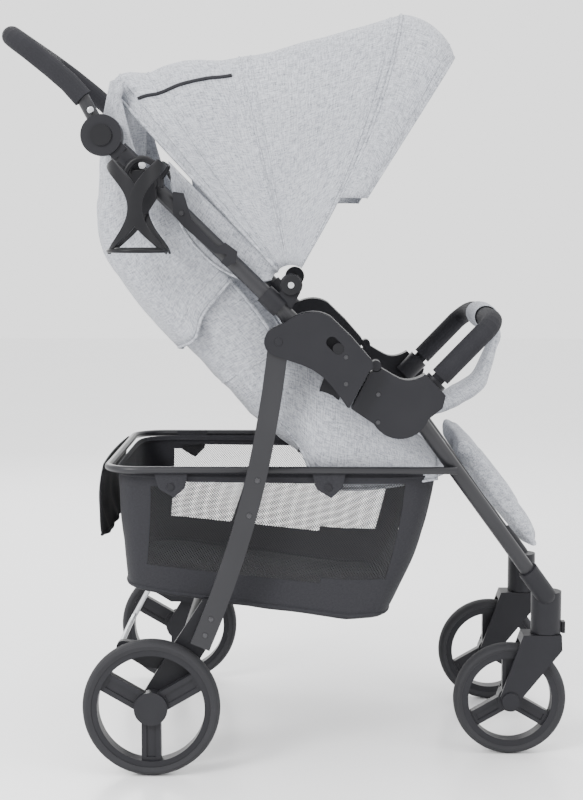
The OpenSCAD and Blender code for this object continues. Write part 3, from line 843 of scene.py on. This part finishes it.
seam("seat_back_top_binding", shell_ribs[-1], 2.2, "backrest")
seam("seat_back_seam", shell_ribs[12], 2.2, "backrest")
seam("seat_wing_binding_right", [rib[0] for rib in shell_ribs], 2.4, "backrest")
seam("seat_wing_binding_left", [rib[-1] for rib in shell_ribs], 2.4, "backrest")

# ---- pads of the seat back, the seat and the leg rest ----


def pad(name, outline, half_width, round_mm, cap_mm, voxel_mm, groove):
    """A stuffed pad, with grooves where it is sewn through."""
    made = block(name, outline, -half_width, half_width, GREY_PAD, round_mm)
    plump(made, cap_mm, voxel_mm, groove)
    return made


def on_back(along, out):
    """A point of the pad's side outline, from its place along and out of the seat back."""
    spot = PIVOT + UP * along + OUT * out
    return spot.x, spot.z


def back_groove(x, y, z, normal):
    if normal.dot(OUT) < 0.2:
        return 0
    along = (Vector((x, 0, z)) - PIVOT).dot(UP)
    middle = 8 * math.sin(math.radians(min(max(along, 0), 430) / 430 * 180))
    return (
        max(dip(along - 150, 6, 5), dip(along - 285, 6, 5))
        + dip(abs(y) - 96 - middle, 5, 4.5)
    )


def seat_groove(x, y, z, normal):
    if normal.z < 0.3:
        return 0
    return max(dip(x - 138, 6, 5), dip(x - 205, 5, 3.5)) + dip(abs(y) - 92, 5, 4)


def leg_groove(x, y, z, normal):
    if normal.x < 0.2:
        return 0
    across = max(dip(z - 405, 5, 3.5), dip(z - 345, 5, 3.5), dip(z - 300, 4, 2.5))
    return across + dip(abs(y) - 118, 4, 2.5)


BACK_OUTLINE = [on_back(28, 10), on_back(404, 10), on_back(398, 34), on_back(34, 36)]
back_pad = pad("seat_back_pad", BACK_OUTLINE, 158, 8, 9, 6, back_groove)
show_as(back_pad, "backrest", "grey_cloth", "backrest_pad")

SEAT_OUTLINE = [(56, 395), (100, 391), (220, 394), (226, 400), (225, 426), (198, 432),
                (92, 436), (66, 432)]
seat = pad("seat_cushion", SEAT_OUTLINE, 172, 7, 7, 6, seat_groove)
show_as(seat, "front_frame", "grey_cloth", "seat_pad")

LEG_OUTLINE = [(242, 446), (282, 405), (309, 371), (341, 320), (355, 290), (345, 289),
               (287, 360), (238, 429)]
leg_pad = pad("leg_rest_pad", LEG_OUTLINE, 138, 4, 6, 5, leg_groove)
show_as(leg_pad, "legrest", "grey_cloth", "legrest")

# ---- side cloths of the seat, from its bottom up to the armrests ----

SIDE_TURN = (
    ("front_frame", "upper_frame"), dict(start=(0.139, 0, 0.440), end=(-0.011, 0, 0.560)))
PLATE = (40, 468)  # middle of the hard plate that the cloth bulges over

side_upper = smooth_path([(-64, 0, 536), (-30, 0, 566), (14, 0, 572), (72, 0, 548), (114, 0, 520),
                          (144, 0, 480), (182, 0, 455), (208, 0, 430)], 44)
side_lower = smooth_path([(-2, 0, 470), (22, 0, 441), (38, 0, 406), (56, 0, 384), (98, 0, 379),
                          (144, 0, 383), (186, 0, 390), (210, 0, 394)], 44)
for side, word in SIDES:
    ribs = []
    for share in shares(15):
        rib = []
        for forward, one, other in zip(shares(44), side_upper, side_lower):
            spot = one.lerp(other, share)
            from_plate = (spot.x - PLATE[0]) ** 2 + (spot.z - PLATE[1]) ** 2
            swell = 22 * math.exp(-from_plate / 62 ** 2)
            swell += 7 * math.sin(math.pi * share) * (1 - forward) ** 0.5
            ripple = wave(spot.x, 0, spot.z, 34, 9 + side) * 3 * (1 - forward)
            rib.append(Vector((spot.x, side * (185.5 + swell + ripple), spot.z)))
        ribs.append(rib)
    panel = declare(loft(f"seat_side_{word}", ribs, GREY, 2.2))
    # the left cloth stands for the solid of both
    show_as(panel, None, "grey_cloth", *(["seat_sides"] if side > 0 else []))
    turning(panel, *SIDE_TURN)
    for edge, k, radius in (("bottom", -1, 2.2), ("stitch", -3, 0.9)):
        line = [point + Vector((0, side * 1.2, 0)) for point in ribs[k]]
        turning(seam(f"seat_side_{edge}_{word}", line, radius), *SIDE_TURN)

# ---- small screws and rivets ----

LEG_SCREWS = [(-32, 400), (-43, 353), (-94, 214), (-102, 192)]
for side, word in SIDES:
    for k, (x, z) in enumerate(LEG_SCREWS):
        screw = disc(f"rear_leg_screw_{word}_{k}", (x, side * 249.8, z), 3.4, 2.0,
                     FINISHES["screw_steel"], 0.6)
        show_as(screw, "rear_frame", "steel")
    rivet = disc(f"rear_leg_rivet_{word}_0", (-4, side * 254.2, 583), 5.2, 1.6, SHELL, 0.6)
    show_as(rivet, "upper_frame", "shell_plastic")
    pin = disc(f"handle_rivet_{word}", (-250, side * 221, 884), 4.4, 6, STEEL, 1.2)
    show_as(pin, "handle", "steel")

# ---- cup holder: crossed crescents round a ring, and its clip ----

CUP = (-184, -275.5)  # the cup's axis
CUP_REACH = 39.5      # from there to the crescents


def crescent(name, toward, facing):
    """One bowed wall of the holder: tips above and below, its waist at the middle."""
    mesh = bmesh.new()
    bmesh.ops.create_grid(mesh, x_segments=8, y_segments=32, size=0.5)
    for vert in mesh.verts:
        across, up = vert.co.x * 2, vert.co.y * 2
        bow = 1 - abs(up) ** 2
        middle = math.radians(90 - 64 * (1 - bow) * toward)
        wide = math.radians(25 + 5 * abs(up) ** 3)
        turn = middle - across * wide * 0.55 + facing
        vert.co = Vector((
            CUP[0] + CUP_REACH * math.cos(turn),
            CUP[1] + CUP_REACH * math.sin(turn),
            757 + 56 * up - 4 * across * toward * abs(up),
        )) * MM
    bmesh.ops.recalc_face_normals(mesh, faces=mesh.faces)
    wall = thicken(new_piece(name, mesh, TRIM), 3.4, -1)
    rounder = wall.modifiers.new("edges", "BEVEL")
    rounder.width = 1.0 * MM
    rounder.segments = 2
    return wall


def on_cup(piece, *nodes):
    show_as(piece, "upper_frame", "trim_plastic", *nodes)


on_cup(crescent("cup_crescent_near_rear", 1, math.pi), "cup_holder")
on_cup(crescent("cup_crescent_near_fore", -1, math.pi))
on_cup(crescent("cup_crescent_far_rear", 1, 0.0))
on_cup(crescent("cup_crescent_far_fore", -1, 0.0))
for name, z, radius in (("low", 701.5, 38), ("base", 703, 31)):
    circle = []
    for k in range(48):
        turn = 2 * math.pi * k / 48
        circle.append((CUP[0] + radius * math.cos(turn), CUP[1] + radius * math.sin(turn), z))
    on_cup(tube(f"cup_ring_{name}", circle, 2.6, TRIM, closed=True))
for k, (x, y) in enumerate(((38, 0), (-38, 0), (0, 38), (0, -38))):
    ends = [(CUP[0] + x * reach, CUP[1] + y * reach, 702) for reach in (1, 0.2)]
    on_cup(tube(f"cup_base_bar_{k}", ends, 2.4, TRIM, 8))
clip_hoop = []
for k in range(25):
    turn = math.pi * (k / 24 * 1.16 - 0.08)
    clip_hoop.append((CUP[0] + 3 + 24 * math.cos(turn), -243, 790 + 30 * math.sin(turn)))
on_cup(tube("cup_clip_hoop", clip_hoop, 4.6, TRIM, 12))
CLIP_PLATE = [(-196, 806), (-166, 806), (-162, 770), (-176, 748), (-192, 748), (-203, 770)]
CLIP_ARM = [(-193, 768), (-173, 768), (-173, 752), (-193, 752)]
on_cup(block("cup_clip_plate", CLIP_PLATE, -241, -234, TRIM, 2))
on_cup(block("cup_clip_arm", CLIP_ARM, -240, -229, TRIM, 2))
show_as(disc("cup_clip_screw", (-181, -242.5, 812), 5.0, 3, STEEL, 1.0), "upper_frame", "steel")

# ---- bumper: cloth sleeve and the strap down to the seat ----

BAR = Vector((285, 0, 606))  # middle of the bar that the sleeve is sewn round
sleeve_ribs = []
for k in range(25):
    y = -62 + 124 * k / 24
    ring = []
    for step in range(33):
        turn = 2 * math.pi * step / 32
        ripple = wave(math.cos(turn) * 20, y, math.sin(turn) * 20, 16, 3) * 0.9
        reach = 16.4 + 1.4 * math.sin(math.pi * k / 24) + ripple
        ring.append(BAR + Vector((math.cos(turn) * reach, y, math.sin(turn) * reach)))
    ring[-1] = ring[0].copy()
    sleeve_ribs.append(ring)
sleeve = loft("bumper_sleeve", sleeve_ribs, GREY, 1.6, closed=True)
show_as(declare(sleeve), "bumper", "grey_cloth")

STRAP_OUTER = [(306, 0, 600), (311, 0, 576), (304, 0, 552), (298, 0, 530), (290, 0, 505),
               (268, 0, 486), (240, 0, 472), (214, 0, 464)]
STRAP_INNER = [(296, 0, 600), (297, 0, 578), (290, 0, 556), (283, 0, 538), (274, 0, 522),
               (254, 0, 508), (232, 0, 494), (208, 0, 476)]
strap_ribs = []
for k, (fore, back) in enumerate(zip(smooth_path(STRAP_OUTER, 30), smooth_path(STRAP_INNER, 30))):
    half = 24 + 30 * (k / 29) ** 2.2
    middle, reach = fore.lerp(back, 0.5), (fore - back).length / 2
    way = (fore - back).normalized()
    ring = []
    for step in range(41):
        turn = 2 * math.pi * step / 40
        out, aside = math.cos(turn), math.sin(turn)
        crease = 1 + wave(out * 30, half * aside, k * 7, 24, 15) * 0.22
        spot = middle + way * reach * crease * squarish(out, 0.7)
        ring.append(Vector((spot.x, half * squarish(aside, 0.7), spot.z)))
    ring[-1] = ring[0].copy()
    strap_ribs.append(ring)
strap = loft("bumper_gusset", strap_ribs, GREY, 1.8, closed=True)
strap = declare(strap)
show_as(strap, None, "grey_cloth", "crotch_strap")
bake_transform(strap)

# ---- basket: a hanging bag with net sides ----

RIM_TOP = 405
BAG_REAR, BAG_FORE = (-229, -216), (210, 146)  # its ends at the rim and at the bottom
BAG_CORNER = 0.24
BAG_CENTRE = Vector((-35, 0, 226))


def bag_floor(x):
    """Height of the bag's bottom edge, which slopes down to the front."""
    return 248 - 40 * within((x + 216) / 300)


def bag_ring(down):
    """One turn round the bag: 0 is at the rim, 1 at its bottom edge."""
    rear = BAG_REAR[0] + (BAG_REAR[1] - BAG_REAR[0]) * down
    fore = BAG_FORE[0] + (BAG_FORE[1] - BAG_FORE[0]) * down ** 1.6
    middle, reach = (rear + fore) / 2, (fore - rear) / 2
    ring = []
    for step in range(481):
        turn = 2 * math.pi * step / 480 + math.pi
        x = middle + reach * squarish(math.cos(turn), BAG_CORNER)
        y = 201.5 * squarish(math.sin(turn), BAG_CORNER)
        ring.append(Vector((x, y, RIM_TOP + (bag_floor(x) - RIM_TOP) * down)))
    ring[-1] = ring[0].copy()
    return evenly(ring, 120)


bag_rings = []
for down in shares(25):
    ring = bag_ring(down)
    for point in ring:
        slack = math.sin(math.pi * down) * 3
        crease = wave(point.x, point.y, point.z * 0.5, 36, 12) * 3.2 * math.sin(math.pi * down)
        if abs(point.y) > 195:
            point.y -= math.copysign(slack - crease * 0.6, point.y)
        else:
            point.x += math.copysign(crease, point.x)
    ring[-1] = ring[0].copy()
    bag_rings.append(ring)
bottom_edge = bag_rings[-1]
for inset in (0.985, 0.95, 0.85, 0.68, 0.48, 0.25, 0.0):
    ring = []
    for point in bottom_edge:
        spot = BAG_CENTRE + Vector(((point.x - BAG_CENTRE.x) * inset, point.y * inset, 0))
        spot.z = bag_floor(spot.x) - 4 - 5 * (1 - inset) + wave(spot.x, spot.y, 0, 50, 13) * 3
        ring.append(spot)
    ring[-1] = ring[0].copy()
    bag_rings.append(ring)


def bag_net(x, y, z):
    """Where the bag is net: a big window in each side and one in front."""
    low = 274 - 18 * within((x + 180) / 200)
    fore = 172 - (392 - z) * 0.22
    side_window = abs(y) > 190 and -178 < x < fore and low < z < 388
    return side_window or (x > 150 and abs(y) < 150 and 262 < z < 380)


def hang(piece, slot="black_cloth", *nodes):
    """Puts a piece on the front frame, where the basket hangs, with a mesh of its own."""
    show_as(piece, "front_frame", slot, *nodes)
    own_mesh(piece)


bag = loft("basket_bag_cloth", bag_rings, BLACK, 1.6, closed=True, windows=bag_net)
hang(declare(bag), "black_cloth", "basket_bag")
hang(tube("basket_bottom_binding", bottom_edge[:-1], 2.6, BLACK_PAD, 8, closed=True))
hang(tube("basket_top_binding", bag_rings[1][:-1], 2.2, BLACK_PAD, 8, closed=True))
for side, word in SIDES:
    for name, x in (("rear", -150), ("front", 62)):
        outline = [(x - 25, 412), (x + 25, 412), (x + 19, 384), (x + 4, 370), (x - 16, 382)]
        low_y, high_y = sorted((side * 205, side * 209))
        hang(block(f"basket_tab_{name}_{word}", outline, low_y, high_y, BLACK_PAD, 1.4))
        snap = disc(f"basket_snap_{name}_{word}", (x, side * 209.6, 385), 5, 2.4, SHELL, 0.8)
        hang(snap, "trim_plastic")

flap_ribs = []
for share in shares(15):
    rib = []
    for c in range(37):
        y = -158 + 316 * c / 36
        edge = (2 * c / 36 - 1) ** 2
        x = -238 - 20 * math.sin(math.pi * (0.12 + 0.75 * share)) * (1 - 0.5 * edge)
        ripple = wave(x, y, share * 90, 42, 14) * 5 * share
        rib.append(Vector((x + ripple - 4, y, 409 - 108 * share + 10 * edge * share)))
    flap_ribs.append(rib)
hang(declare(loft("basket_rear_flap", flap_ribs, BLACK, 1.8)))
hang(tube("basket_flap_hem", flap_ribs[-1], 2.2, BLACK_PAD, 8))
